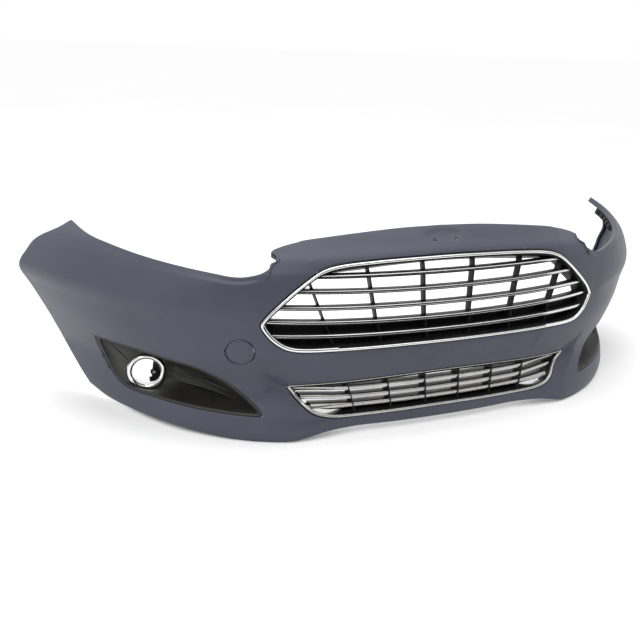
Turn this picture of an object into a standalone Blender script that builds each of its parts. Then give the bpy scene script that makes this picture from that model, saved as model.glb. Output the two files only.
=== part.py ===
"""Front bumper cover of a small hatchback.

A thin painted skin carries two grilles, two fog-lamp bezels, a round tow-eye cap and the
brackets that fasten it to the wings. Metres, +Z up; the car's nose points to -Y and the
origin lies on the ground under the middle of the cover.
"""

import math

import bmesh
import bpy
import numpy as np
from mathutils import Matrix, Vector

# Driving dimensions ---------------------------------------------------------------------
SKIN_THICK = 0.003
EDGE_RETURN = 0.014          # inward lip all round the skin
GAP = 0.0004                 # clearance between pieces that touch
BACKSET = -0.2344            # moves the nose forward so that the origin is mid-depth
CAR_BOW = 0.12               # depth of the shallow bow of the nose across half the width
CAR_CORNER = 0.39            # extra depth of the wings, which grows with CORNER_POWER
CORNER_POWER = 4.2
CROWN = 0.17                 # how fast the bonnet edge falls towards the headlamps
CHIN_DEPTH = 0.034           # how far the chin stands forward under the fog lamps

# Centre-line profile: height and distance back from the nose plane.
SPINE = [(0.0, -0.006), (0.030, -0.014), (0.064, -0.016), (0.090, -0.012), (0.112, -0.008),
         (0.150, -0.016), (0.199, -0.023), (0.256, -0.014), (0.310, -0.008), (0.374, 0.002),
         (0.395, 0.012), (0.410, 0.030), (0.425, 0.047), (0.440, 0.066)]
# Half width of the body at each height.
HALF_WIDTHS = [(0.0, 0.775), (0.040, 0.783), (0.080, 0.784), (0.113, 0.786), (0.150, 0.794),
               (0.190, 0.808), (0.250, 0.838), (0.290, 0.857), (0.330, 0.845), (0.370, 0.814),
               (0.407, 0.772), (0.440, 0.735)]

# Outlines of the +X half in the front view, as (x, z).
TOP_EDGE = [(0.0, 0.437), (0.10, 0.4345), (0.20, 0.427), (0.29, 0.417), (0.330, 0.410),
            (0.356, 0.403), (0.373, 0.394), (0.381, 0.380), (0.399, 0.366), (0.418, 0.357),
            (0.443, 0.352), (0.467, 0.352), (0.495, 0.356), (0.548, 0.363), (0.617, 0.372),
            (0.668, 0.380), (0.708, 0.387), (0.734, 0.399)]
BOTTOM_EDGE = [(0.0, 0.017), (0.10, 0.017), (0.20, 0.0175), (0.270, 0.017), (0.310, 0.011),
               (0.345, 0.003), (0.380, 0.0002), (0.430, 0.0002), (0.480, 0.002), (0.564, 0.009),
               (0.642, 0.010), (0.688, 0.012), (0.722, 0.027)]
ARCH_EDGE = [(0.722, 0.027), (0.746, 0.069), (0.770, 0.115), (0.797, 0.175), (0.826, 0.235),
             (0.852, 0.287), (0.832, 0.330), (0.803, 0.361), (0.734, 0.399)]
UPPER_GRILLE = [(0.0, 0.389), (0.12, 0.387), (0.19, 0.384), (0.241, 0.380), (0.277, 0.3735),
                (0.305, 0.362), (0.336, 0.340), (0.366, 0.315), (0.396, 0.287), (0.412, 0.267),
                (0.4165, 0.256), (0.411, 0.242), (0.396, 0.223), (0.378, 0.209), (0.357, 0.200),
                (0.325, 0.1965), (0.258, 0.197), (0.12, 0.198), (0.0, 0.198)]
LOWER_GRILLE = [(0.0, 0.132), (0.11, 0.130), (0.245, 0.1245), (0.340, 0.1185), (0.358, 0.116),
                (0.346, 0.096), (0.326, 0.071), (0.309, 0.057), (0.290, 0.049), (0.255, 0.043),
                (0.199, 0.041), (0.10, 0.042), (0.0, 0.043)]
FOG_BEZEL = [(0.711, 0.164), (0.642, 0.1665), (0.574, 0.158), (0.525, 0.148), (0.467, 0.118),
             (0.427, 0.085), (0.410, 0.062), (0.421, 0.053), (0.513, 0.055), (0.606, 0.058),
             (0.657, 0.060), (0.682, 0.085), (0.701, 0.128)]

# Upper grille
UPPER_SLATS = [(0.351, 0.290), (0.317, 0.330), (0.284, 0.367), (0.253, 0.391), (0.227, 0.371)]
UPPER_RIBS = [0.053, 0.1595, 0.264]   # at their foot
RIB_LEAN = [0.054, 0.187, 0.360]      # outwards, per metre of height
RIB_FOOT = 0.2085
RIB_ROOM = 0.0105                     # from the grille's edge down to a rib's top
RIB_DEPTHS = (0.0326, 0.0446)
RIB_THICK = 0.0032
RIB_STATIONS = 5
BLANK_HEIGHT = 0.2400                 # closed panel low in the upper grille
BLANK_HALF = 0.366
GRILLE_DEPTH = 0.045
SLAT_END_ROOM = 0.010                 # slats stop short of the frame's wall
CHROME_WIDE = 0.010
CHROME_SLIM = 0.008
SEAM = (0.258, 0.197)                 # joint between the corner and the centre lower trims
# Lower grille
LOWER_SLATS = [(0.1035, 0.328), (0.0850, 0.316), (0.0670, 0.296)]
LOWER_RIBS = [0.042, 0.132, 0.221]
LOWER_RIB_LEAN = 0.08
LOWER_RIB_ENDS = (0.0500, 0.1215)
LOWER_RIB_DEPTHS = (0.0265, 0.0370)
LOWER_DEPTH = 0.038
LOWER_END_ROOM = 0.004
TOP_TRIM = 0.0035
# Wing brackets: line along the top edge of the wing tip
BRACKET_DEPTHS = (0.0042, 0.0072)
BRACKET_INSETS = (0.007, 0.033)
WING_SCREW_INSET = 0.020
WING_SCREW_DEPTH = 0.0094
WING_SCREW_GRIP = 0.002
WING_BRACKET = [(0.655, 0.3775), (0.672, 0.3805), (0.700, 0.3855), (0.716, 0.3895)]
SHANK = 0.0022
# Fog lamps
FOG_CENTRE = (0.611, 0.245, 0.092)    # centre of the ring, y from the nose plane
FOG_TURN = math.radians(12)           # the ring faces a little outboard
FOG_RADIUS = 0.0415
FOG_HOLE = 0.0310
BEZEL_GAP = 0.0006
RIM_GAP = 0.0012
COLLAR_GAP = 0.0016
POCKET_SAG = 0.06             # hollow of the funnel, as a share of its length
BEZEL_THICK = 0.0022
COLLAR_DEPTH = 0.025
BRACKET_THICK = 0.003
# Tow-eye cap
BADGE_PIN = (0.027, 0.411)
PIN_RADIUS = 0.004
TOW_CENTRE = (-0.452, 0.197)
TOW_RADIUS = 0.0285

SKIN_COLUMNS = 34
SKIN_ROWS = 15


# Helpers --------------------------------------------------------------------------------
def clear_scene():
    for item in list(bpy.data.objects):
        bpy.data.objects.remove(item, do_unlink=True)


def make_material(name, colour, roughness, metallic=0.0):
    material = bpy.data.materials.new(name)
    material.use_nodes = True
    shader = material.node_tree.nodes["Principled BSDF"]
    shader.inputs["Base Color"].default_value = (*colour, 1.0)
    shader.inputs["Roughness"].default_value = roughness
    shader.inputs["Metallic"].default_value = metallic
    material.diffuse_color = (*colour, 1.0)
    return material


def add_object(name, mesh_data, material, smooth_angle=None, recalculate=True):
    """Turn a bmesh into an object of its own; smooth_angle shades round pieces smooth."""
    if recalculate:
        bmesh.ops.recalc_face_normals(mesh_data, faces=mesh_data.faces)
    mesh = bpy.data.meshes.new(name)
    mesh_data.to_mesh(mesh)
    mesh_data.free()
    item = bpy.data.objects.new(name, mesh)
    bpy.context.scene.collection.objects.link(item)
    if material:
        mesh.materials.append(material)
    if smooth_angle:
        mesh.shade_smooth()
        mesh.set_sharp_from_angle(angle=smooth_angle)
    return item


def as_guide(item):
    """Hide a cutter or a join piece, which is not a part of the object."""
    item.hide_render = True
    item.display_type = "WIRE"
    return item


def boolean(target, other, operation="DIFFERENCE"):
    modifier = target.modifiers.new(operation.title() + "_" + other.name, "BOOLEAN")
    modifier.operation = operation
    modifier.solver = "EXACT"
    modifier.object = other


def through(table, value):
    """Smooth curve through a short table of (position, height) pairs."""
    xs, ys = np.array(table).T
    slopes = np.gradient(ys, xs)
    value = min(max(value, xs[0]), xs[-1])
    i = min(int(np.searchsorted(xs, value, side="right")) - 1, len(xs) - 2)
    step = xs[i + 1] - xs[i]
    t = (value - xs[i]) / step
    start = (2 * t**3 - 3 * t**2 + 1) * ys[i] + (t**3 - 2 * t**2 + t) * step * slopes[i]
    end = (3 * t**2 - 2 * t**3) * ys[i + 1] + (t**3 - t**2) * step * slopes[i + 1]
    return float(start + end)


def ease(t):
    t = min(max(t, 0.0), 1.0)
    return t * t * (3 - 2 * t)


def curve_through(points, steps=6):
    """Catmull-Rom curve through 2-D points."""
    points = np.array(points)
    ends = np.vstack([2 * points[0] - points[1], points, 2 * points[-1] - points[-2]])
    result = []
    for i in range(1, len(ends) - 2):
        a, b, c, d = ends[i - 1:i + 3]
        for k in range(steps):
            t = k / steps
            result.append(0.5 * (2 * b + (c - a) * t + (2 * a - 5 * b + 4 * c - d) * t * t
                                 + (3 * b - a - 3 * c + d) * t**3))
    result.append(points[-1])
    return np.array(result)


# The body surface -----------------------------------------------------------------------
def skin_y(x, z):
    """Distance back of the painted surface at a point of the front view."""
    side = abs(x)
    reach = side / through(HALF_WIDTHS, z)
    bow = CAR_BOW * reach**2 + CAR_CORNER * reach**CORNER_POWER
    crowned = z + CROWN * min(side, 0.37)**2 * min(max((z - 0.36) / 0.05, 0.0), 1.0)
    chin = (ease((side - 0.18) / 0.18) * (1 - ease((side - 0.55) / 0.2)) * (1 - ease(z / 0.10)))
    return through(SPINE, crowned) + bow - CHIN_DEPTH * chin + BACKSET


def inward_normal(x, z):
    step = 0.002
    across = (skin_y(x + step, z) - skin_y(x - step, z)) / (2 * step)
    upward = (skin_y(x, z + step) - skin_y(x, z - step)) / (2 * step)
    return Vector((-across, 1.0, -upward)).normalized()


def skin_point(x, z, depth=0.0):
    """A point of the surface, or one at a depth behind it square to the surface."""
    return Vector((x, skin_y(x, z), z)) + inward_normal(x, z) * depth


def along_surface(points, count):
    """Evenly spaced (x, z) points on the surface along a smooth curve."""
    fine = curve_through(points)
    spots = np.array([skin_point(*p) for p in fine])
    steps = np.linalg.norm(np.diff(spots, axis=0), axis=1)
    length = np.concatenate([[0.0], np.cumsum(steps)])
    wanted = np.linspace(0.0, length[-1], count)
    return np.column_stack([np.interp(wanted, length, fine[:, k]) for k in (0, 1)])


def full_outline(half, longest=0.07):
    """Closed outline from its +X half; long runs get points so that they follow the bow."""
    right = []
    for start, end in zip(half, half[1:]):
        parts = math.ceil(math.dist(start, end) / longest)
        right += [tuple(np.array(start) + (np.array(end) - start) * k / parts)
                  for k in range(parts)]
    right.append(half[-1])
    return right + [(-x, z) for x, z in right[-2:0:-1]]


def outline_normals(points, closed):
    """Unit tangents and inward normals (scaled to keep the width at corners)."""
    points = np.array(points)
    if closed:
        before = points - np.roll(points, 1, axis=0)
        after = np.roll(points, -1, axis=0) - points
    else:
        steps = np.diff(points, axis=0)
        before = np.vstack([steps[:1], steps])
        after = np.vstack([steps, steps[-1:]])
    before /= np.linalg.norm(before, axis=1)[:, None]
    after /= np.linalg.norm(after, axis=1)[:, None]
    tangent = before + after
    tangent /= np.linalg.norm(tangent, axis=1)[:, None]
    scale = 1 / np.clip((tangent * after).sum(axis=1), 0.6, 1.0)
    inward = np.column_stack([tangent[:, 1], -tangent[:, 0]]) * scale[:, None]
    return tangent, inward


def band(points, inward, section, closed=False, square=False):
    """Sweep a section of (inset, depth) pairs along a front-view outline on the skin.

    Depth runs straight back, or square to the surface where square is set.
    """
    mesh_data = bmesh.new()
    rings = []
    for spot, side in zip(np.array(points), np.array(inward)):
        ring = []
        for inset, depth in section:
            x, z = spot + side * inset
            place = skin_point(x, z, depth) if square else (x, skin_y(x, z) + depth, z)
            ring.append(mesh_data.verts.new(place))
        rings.append(ring)
    count = len(section)
    pairs = list(zip(rings, rings[1:] + rings[:1])) if closed else list(zip(rings, rings[1:]))
    for one, two in pairs:
        for k in range(count):
            mesh_data.faces.new([one[k], one[(k + 1) % count], two[(k + 1) % count], two[k]])
    if not closed:
        mesh_data.faces.new(rings[0][::-1])
        mesh_data.faces.new(rings[-1])
    return mesh_data


def prism(points, front, back):
    """Front-view outline extruded along Y."""
    mesh_data = bmesh.new()
    near = [mesh_data.verts.new((x, front, z)) for x, z in points]
    face = mesh_data.faces.new(near)
    grown = bmesh.ops.extrude_face_region(mesh_data, geom=[face])["geom"]
    moved = [v for v in grown if isinstance(v, bmesh.types.BMVert)]
    bmesh.ops.translate(mesh_data, verts=moved, vec=(0.0, back - front, 0.0))
    return mesh_data


def turned(profile, centre, axis, segments=28):
    """Closed ring or disc turned about an axis; profile is (radius, along the axis) pairs."""
    mesh_data = bmesh.new()
    frame = Matrix.Translation(centre) @ axis.to_track_quat("Z", "Y").to_matrix().to_4x4()
    verts = [mesh_data.verts.new((r, 0.0, h)) for r, h in profile]
    edges = [mesh_data.edges.new((a, b)) for a, b in zip(verts, verts[1:] + verts[:1])]
    bmesh.ops.spin(mesh_data, geom=verts + edges, cent=(0, 0, 0), axis=(0, 0, 1),
                   angle=2 * math.pi, steps=segments, use_merge=True, use_duplicate=False)
    bmesh.ops.remove_doubles(mesh_data, verts=mesh_data.verts, dist=0.00005)
    flat = [f for f in mesh_data.faces if f.calc_area() < 1e-12]
    bmesh.ops.delete(mesh_data, geom=flat, context="FACES")
    bmesh.ops.transform(mesh_data, matrix=frame, verts=mesh_data.verts)
    return mesh_data


def bar(half_length, z, section, steps=12):
    """Bar across the nose that follows its bow; section is (depth, height) pairs."""
    mesh_data = bmesh.new()
    rings = []
    for x in np.linspace(-half_length, half_length, steps + 1):
        rings.append([mesh_data.verts.new((x, skin_y(x, z + h) + d, z + h))
                      for d, h in section])
    count = len(section)
    for one, two in zip(rings, rings[1:]):
        for k in range(count):
            mesh_data.faces.new([one[k], one[(k + 1) % count], two[(k + 1) % count], two[k]])
    mesh_data.faces.new(rings[0][::-1])
    mesh_data.faces.new(rings[-1])
    return mesh_data


# Skin -----------------------------------------------------------------------------------
def skin_patch_point(u, v, edges):
    """Blend of the four edge curves, in the front view."""
    top, bottom, arch, middle = edges
    corners = (middle[0], arch[0], middle[-1], arch[-1])
    i = round(u * (len(top) - 1))
    j = round(v * (len(arch) - 1))
    flat = ((1 - v) * bottom[i] + v * top[i] + (1 - u) * middle[j] + u * arch[j])
    corner = ((1 - u) * (1 - v) * corners[0] + u * (1 - v) * corners[1]
              + (1 - u) * v * corners[2] + u * v * corners[3])
    return flat - corner


def build_skin(material):
    top = along_surface(TOP_EDGE, SKIN_COLUMNS + 1)
    bottom = along_surface(BOTTOM_EDGE, SKIN_COLUMNS + 1)
    arch = along_surface(ARCH_EDGE, SKIN_ROWS + 1)
    middle = along_surface([BOTTOM_EDGE[0], (0.0, 0.2), TOP_EDGE[0]], SKIN_ROWS + 1)
    edges = (top, bottom, arch, middle)
    mesh_data = bmesh.new()
    grid = {}
    for i in range(-SKIN_COLUMNS, SKIN_COLUMNS + 1):
        for j in range(SKIN_ROWS + 1):
            x, z = skin_patch_point(abs(i) / SKIN_COLUMNS, j / SKIN_ROWS, edges)
            x = math.copysign(x, i) if i else 0.0
            grid[i, j] = mesh_data.verts.new(skin_point(x, z))
    for i in range(-SKIN_COLUMNS, SKIN_COLUMNS):
        for j in range(SKIN_ROWS):
            mesh_data.faces.new([grid[i, j], grid[i + 1, j], grid[i + 1, j + 1], grid[i, j + 1]])
    rim = [e for e in mesh_data.edges if e.is_boundary]
    grown = bmesh.ops.extrude_edge_only(mesh_data, edges=rim)["geom"]
    for vert in [v for v in grown if isinstance(v, bmesh.types.BMVert)]:
        vert.co += inward_normal(vert.co.x, vert.co.z) * EDGE_RETURN
    skin = add_object("bumper_skin", mesh_data, material, math.radians(40), recalculate=False)
    wall = skin.modifiers.new("Wall", "SOLIDIFY")
    wall.thickness = SKIN_THICK
    wall.offset = -1.0
    wall.use_even_offset = True
    return skin


def offset_outline(points, distance):
    """Outline grown outwards by a distance."""
    inward = outline_normals(points, True)[1]
    return [tuple(p) for p in np.array(points) - inward * distance]


def cut_skin(skin):
    """Openings of the skin: grilles, fog bezels, tow eye and badge pins."""
    front = BACKSET - 0.06
    back = BACKSET + 0.40
    shapes = {
        "cut_upper_grille": offset_outline(full_outline(UPPER_GRILLE), GAP),
        "cut_lower_grille": offset_outline(full_outline(LOWER_GRILLE), GAP),
        "cut_fog_right": offset_outline(FOG_BEZEL[::-1], GAP),
    }
    shapes["cut_fog_left"] = [(-x, z) for x, z in shapes["cut_fog_right"]]
    for name, points in shapes.items():
        cutter = as_guide(add_object(name, prism(points, front, back), None))
        boolean(skin, cutter)
    centre = skin_point(*TOW_CENTRE)
    axis = inward_normal(*TOW_CENTRE)
    hole = turned([(0.0, -0.02), (0.0, 0.02), (TOW_RADIUS + GAP, 0.02),
                   (TOW_RADIUS + GAP, -0.02)], centre, axis)
    boolean(skin, as_guide(add_object("cut_tow_eye", hole, None)))
    for side in (-1, 1):
        x, z = side * BADGE_PIN[0], BADGE_PIN[1]
        pin = turned([(0.0, -0.02), (0.0, 0.02), (PIN_RADIUS, 0.02), (PIN_RADIUS, -0.02)],
                     skin_point(x, z), inward_normal(0.0, z), 12)
        boolean(skin, as_guide(add_object(f"cut_badge_pin_{side + 1}", pin, None)))


# Upper grille ---------------------------------------------------------------------------
def chrome_section(width):
    """Domed strip that stands proud of the skin, as (inset, depth)."""
    return [(0.0, 0.0022), (0.0002, -0.0016), (width * 0.3, -0.0042), (width * 0.7, -0.0040),
            (width, -0.0006), (width, 0.0022)]


def trim_piece(name, points, inward, section, material):
    """One stretch of trim, shortened at both ends to leave a joint."""
    points = np.array(points, dtype=float)
    for end, nxt in ((0, 1), (-1, -2)):
        run = points[nxt] - points[end]
        points[end] += run / np.linalg.norm(run) * GAP
    return add_object(name, band(points, inward, section), material, math.radians(40))


def build_upper_trim(chrome):
    outline = full_outline(UPPER_GRILLE)
    inward = outline_normals(outline, True)[1]
    tip = max(range(len(outline)), key=lambda i: outline[i][0])
    seam = outline.index(SEAM)
    total = len(outline)
    stretches = {
        "upper_trim_arch": (range(total - tip, total + tip + 1), CHROME_SLIM),
        "upper_trim_corner_right": (range(tip, seam + 1), CHROME_WIDE),
        "upper_trim_centre": (range(seam, total - seam + 1), CHROME_SLIM),
        "upper_trim_corner_left": (range(total - seam, total - tip + 1), CHROME_WIDE),
    }
    for name, (span, width) in stretches.items():
        picks = [i % total for i in span]
        trim_piece(name, [outline[i] for i in picks], [inward[i] for i in picks],
                   chrome_section(width), chrome)


def rib_prism(x, lean, z_low, z_high, front, back):
    """Upright rib that follows the nose; front and back are depths behind the skin."""
    mesh_data = bmesh.new()
    rings = []
    for z in np.linspace(z_low, z_high, RIB_STATIONS):
        centre = x + lean * (z - z_low)
        base = skin_y(centre, z)
        corners = ((-0.5, front), (0.5, front), (0.5, back), (-0.5, back))
        rings.append([mesh_data.verts.new((centre + side * RIB_THICK, base + depth, z))
                      for side, depth in corners])
    mesh_data.faces.new(rings[0][::-1])
    mesh_data.faces.new(rings[-1])
    for low, high in zip(rings, rings[1:]):
        for k in range(4):
            mesh_data.faces.new([low[k], low[(k + 1) % 4], high[(k + 1) % 4], high[k]])
    return mesh_data


def join_meshes(pieces):
    """Put several closed shapes into one bmesh."""
    whole = bmesh.new()
    for piece in pieces:
        bmesh.ops.recalc_face_normals(piece, faces=piece.faces)
        mesh = bpy.data.meshes.new("piece")
        piece.to_mesh(mesh)
        whole.from_mesh(mesh)
        piece.free()
        bpy.data.meshes.remove(mesh)
    return whole


def top_of_grille(x):
    """Height of the upper grille's top edge, inside its frame."""
    xs = [p[0] for p in UPPER_GRILLE[:11]]
    zs = [p[1] for p in UPPER_GRILLE[:11]]
    return float(np.interp(abs(x), xs, zs))


def rib_top(x, lean):
    """Height at which a leaning rib meets the frame."""
    z = UPPER_SLATS[0][0]
    for _ in range(4):
        z = top_of_grille(x + lean * (z - RIB_FOOT)) - RIB_ROOM
    return z


def build_upper_grille(black, chrome):
    outline = full_outline(UPPER_GRILLE)
    inward = outline_normals(outline, True)[1]
    section = [(-0.010, 0.0080), (0.0005, 0.0075), (0.0005, 0.0036), (0.012, 0.0036),
               (0.012, GRILLE_DEPTH), (0.009, GRILLE_DEPTH), (0.009, 0.0105), (-0.010, 0.0110)]
    frame = add_object("upper_grille_frame", band(outline, inward, section, True), black)
    ribs = []
    for x, lean in zip(UPPER_RIBS, RIB_LEAN):
        for side in (-1, 1):
            ribs.append(rib_prism(side * x, side * lean, RIB_FOOT, rib_top(x, lean), *RIB_DEPTHS))
    boolean(frame, as_guide(add_object("join_upper_ribs", join_meshes(ribs), None)), "UNION")
    blank = [(0.0310, -0.0315), (0.0340, -0.0315), (0.0340, 0.0065), (0.0310, 0.0065)]
    panel = add_object("join_upper_blank", bar(BLANK_HALF, BLANK_HEIGHT, blank), None)
    boolean(frame, as_guide(panel), "UNION")
    body = [(0.0095, -0.0035), (0.0300, -0.0015), (0.0300, 0.0015), (0.0095, 0.0035)]
    face = [(0.0060, -0.0022), (0.0092, -0.0033), (0.0092, 0.0033), (0.0060, 0.0022)]
    for number, (z, half) in enumerate(UPPER_SLATS, 1):
        inner = half - SLAT_END_ROOM
        add_object(f"upper_slat_{number}", bar(inner, z, body), black)
        add_object(f"upper_slat_trim_{number}", bar(inner, z, face), chrome)


# Lower grille ---------------------------------------------------------------------------
def build_lower_grille(black, satin):
    outline = full_outline(LOWER_GRILLE)
    inward = outline_normals(outline, True)[1]
    depth = LOWER_DEPTH
    section = [(-0.008, 0.0075), (0.0005, 0.0070), (0.0005, 0.0036), (0.009, 0.0036),
               (0.009, depth), (0.0065, depth), (0.0065, 0.0100), (-0.008, 0.0100)]
    frame = add_object("lower_grille_frame", band(outline, inward, section, True), black)
    ribs = []
    for x in LOWER_RIBS:
        for side in (-1, 1):
            lean = side * LOWER_RIB_LEAN
            ribs.append(rib_prism(side * x, lean, *LOWER_RIB_ENDS, *LOWER_RIB_DEPTHS))
    boolean(frame, as_guide(add_object("join_lower_ribs", join_meshes(ribs), None)), "UNION")
    tip = max(range(len(outline)), key=lambda i: outline[i][0])
    total = len(outline)
    trims = {
        "lower_trim_u": (range(tip, total - tip + 1), chrome_section(CHROME_SLIM)),
        "lower_trim_top": (range(total - tip, total + tip + 1), chrome_section(TOP_TRIM)),
    }
    for name, (span, profile) in trims.items():
        picks = [i % total for i in span]
        trim_piece(name, [outline[i] for i in picks], [inward[i] for i in picks], profile, satin)
    blade = [(0.0060, -0.0030), (0.0080, -0.0060), (0.0235, -0.0050), (0.0235, 0.0020),
             (0.0080, 0.0050), (0.0060, 0.0035)]
    for number, (z, half) in enumerate(LOWER_SLATS, 1):
        add_object(f"lower_slat_{number}", bar(half - LOWER_END_ROOM, z, blade), satin)


# Fog lamps ------------------------------------------------------------------------------
def fog_axis(side):
    """Outward direction of a fog-lamp ring."""
    return Vector((side * math.sin(FOG_TURN), -math.cos(FOG_TURN), 0.0))


def fog_centre(side):
    x, y, z = FOG_CENTRE
    return Vector((side * x, y + BACKSET, z))


def bezel_rim():
    """Rim points and their angles about the lamp: the outline's corners and even steps."""
    rim = offset_outline(FOG_BEZEL[::-1], -RIM_GAP)
    fine = []
    for start, end in zip(rim, rim[1:] + rim[:1]):
        parts = math.ceil(math.dist(start, end) / 0.006)
        fine += [np.array(start) + (np.array(end) - start) * k / parts for k in range(parts)]
    fine = np.array(fine)
    lamp = np.array([FOG_CENTRE[0], FOG_CENTRE[2]])
    turn = np.unwrap(np.arctan2(*(fine - lamp).T[::-1]))
    corners = np.unwrap(np.arctan2(*(np.array(rim) - lamp).T[::-1]))
    even = corners[0] - np.radians(np.arange(15, 360, 15))
    spare = [a for a in even if np.abs(corners - a).min() > math.radians(5)]
    wanted = np.array(sorted([*corners, *spare], reverse=True))
    points = np.column_stack([np.interp(-wanted, -turn, fine[:, k]) for k in (0, 1)])
    return points, wanted


def build_bezel(side, name, material):
    """Funnel from the opening in the skin to the collar that holds the ring."""
    points, angles = bezel_rim()
    inward = outline_normals(points, True)[1]
    centre, axis = fog_centre(side), fog_axis(side)
    across = Vector((math.cos(FOG_TURN) * side, math.sin(FOG_TURN), 0.0))
    upward = Vector((0.0, 0.0, 1.0))
    mesh_data = bmesh.new()
    loops = []
    for inset, depth in ((0.0, 0.0012), (0.005, 0.0012)):
        ring = []
        for (x, z), (nx, nz) in zip(points, inward):
            px, pz = x + nx * inset, z + nz * inset
            ring.append(Vector((side * px, skin_y(px, pz) + depth, pz)))
        loops.append(ring)
    radius = FOG_RADIUS + COLLAR_GAP
    circle = [centre + (across * math.cos(turn) + upward * math.sin(turn)) * radius
              for turn in angles]
    for share in (0.12, 0.38, 0.7, 1.0):
        sag = POCKET_SAG * math.sin(math.pi * share)
        loops.append([a.lerp(b, share) + Vector((0.0, sag * (b - a).length, 0.0))
                      for a, b in zip(loops[1], circle)])
    loops.append([p - axis * COLLAR_DEPTH for p in circle])
    rings = [[mesh_data.verts.new(p) for p in ring] for ring in loops]
    count = len(points)
    for one, two in zip(rings, rings[1:]):
        for k in range(count):
            corners = [one[k], one[(k + 1) % count], two[(k + 1) % count], two[k]]
            mesh_data.faces.new(corners[::-1] if side > 0 else corners)
    bezel = add_object(name, mesh_data, material, math.radians(40), recalculate=False)
    wall = bezel.modifiers.new("Wall", "SOLIDIFY")
    wall.thickness = BEZEL_THICK
    wall.offset = -1.0
    return bezel


def plate(outline, thick, matrix):
    """Flat plate from a 2-D outline, placed by a matrix; its thickness runs along local +Z."""
    mesh_data = bmesh.new()
    face = mesh_data.faces.new([mesh_data.verts.new((x, y, 0.0)) for x, y in outline])
    grown = bmesh.ops.extrude_face_region(mesh_data, geom=[face])["geom"]
    moved = [v for v in grown if isinstance(v, bmesh.types.BMVert)]
    bmesh.ops.translate(mesh_data, verts=moved, vec=(0.0, 0.0, thick))
    bmesh.ops.transform(mesh_data, matrix=matrix, verts=mesh_data.verts)
    return mesh_data


def arc(radius, start, end, steps):
    return [(radius * math.cos(a), radius * math.sin(a))
            for a in np.radians(np.linspace(start, end, steps + 1))]


def build_fog_lamp(side, name, black, chrome, steel):
    centre, axis = fog_centre(side), fog_axis(side)
    build_bezel(side, f"fog_bezel_{name}", black)
    profile = [(FOG_HOLE, -0.012), (FOG_HOLE, 0.001), (0.0335, 0.0040), (0.0380, 0.0045),
               (FOG_RADIUS, 0.001), (FOG_RADIUS, -0.012)]
    add_object(f"fog_ring_{name}", turned(profile, centre, axis, 32), chrome, math.radians(40))
    # Bracket: a half ring with an ear, behind the collar on the inboard side.
    inboard = Vector((-side * math.cos(FOG_TURN), -math.sin(FOG_TURN), 0.0))
    third = axis.cross(inboard)
    matrix = Matrix((inboard, third, axis)).transposed().to_4x4()
    matrix.translation = centre - axis * (COLLAR_DEPTH + BEZEL_GAP + BRACKET_THICK)
    ear = [(0.074, -0.016), (0.074, 0.016)]
    outline = arc(0.050, -80, -20, 4) + ear + arc(0.050, 20, 80, 4) + arc(0.026, 80, -80, 8)
    bracket = add_object(f"fog_bracket_{name}", plate(outline, BRACKET_THICK, matrix), black)
    for number, height in enumerate((-0.008, 0.008), 1):
        spot = matrix @ Vector((0.064, height, 0.0))
        add_screw(f"fog_screw_{name}_{number}", bracket, spot, axis, BRACKET_THICK, steel)


def add_screw(name, bracket, spot, axis, thick, material):
    """Flanged screw whose head lies on the rear of a bracket; its shank goes through."""
    hole = turned([(0.0, -0.004), (0.0, thick + 0.004), (SHANK + GAP, thick + 0.004),
                   (SHANK + GAP, -0.004)], spot, axis, 10)
    boolean(bracket, as_guide(add_object("cut_" + name, hole, None)))
    low = -GAP
    profile = [(0.0, low - 0.0048), (0.0036, low - 0.0048), (0.0042, low - 0.0012),
               (0.0062, low - 0.0008), (0.0062, low), (SHANK, low), (SHANK, thick + 0.0010),
               (0.0, thick + 0.0010)]
    add_object(name, turned(profile, spot, axis, 10), material, math.radians(40))


# Wing brackets --------------------------------------------------------------------------
def build_wing_bracket(side, name, black, steel):
    """Strip inside the wing tip that hooks the cover to the body."""
    path = [(side * x, z) for x, z in WING_BRACKET]
    inward = [(0.0, -1.0)] * len(path)
    (near, far), (front, back) = BRACKET_INSETS, BRACKET_DEPTHS
    section = [(near, front), (far, front), (far, back), (near, back)]
    bracket = add_object(f"wing_bracket_{name}", band(path, inward, section, square=True), black)
    for number, index in enumerate((1, -2), 1):
        x, z = path[index]
        spot = skin_point(x, z - WING_SCREW_INSET, WING_SCREW_DEPTH)
        outward = -inward_normal(x, z - WING_SCREW_INSET)
        add_screw(f"wing_screw_{name}_{number}", bracket, spot, outward, WING_SCREW_GRIP, steel)


# Tow-eye cap ----------------------------------------------------------------------------
def build_tow_cap(material):
    """Round lid; its origin lies on the line along which it is pulled out."""
    profile = [(0.0, 0.0002), (TOW_RADIUS - 0.0010, 0.0002), (TOW_RADIUS, 0.0010),
               (TOW_RADIUS, 0.0030), (0.0245, 0.0030), (0.0238, 0.0110), (0.0220, 0.0110),
               (0.0215, 0.0030), (0.0, 0.0030)]
    axis = inward_normal(*TOW_CENTRE)
    mesh_data = turned(profile, Vector((0.0, 0.0, 0.0)), axis)
    cap = add_object("tow_cap", mesh_data, material, math.radians(40))
    cap.location = skin_point(*TOW_CENTRE)


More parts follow.
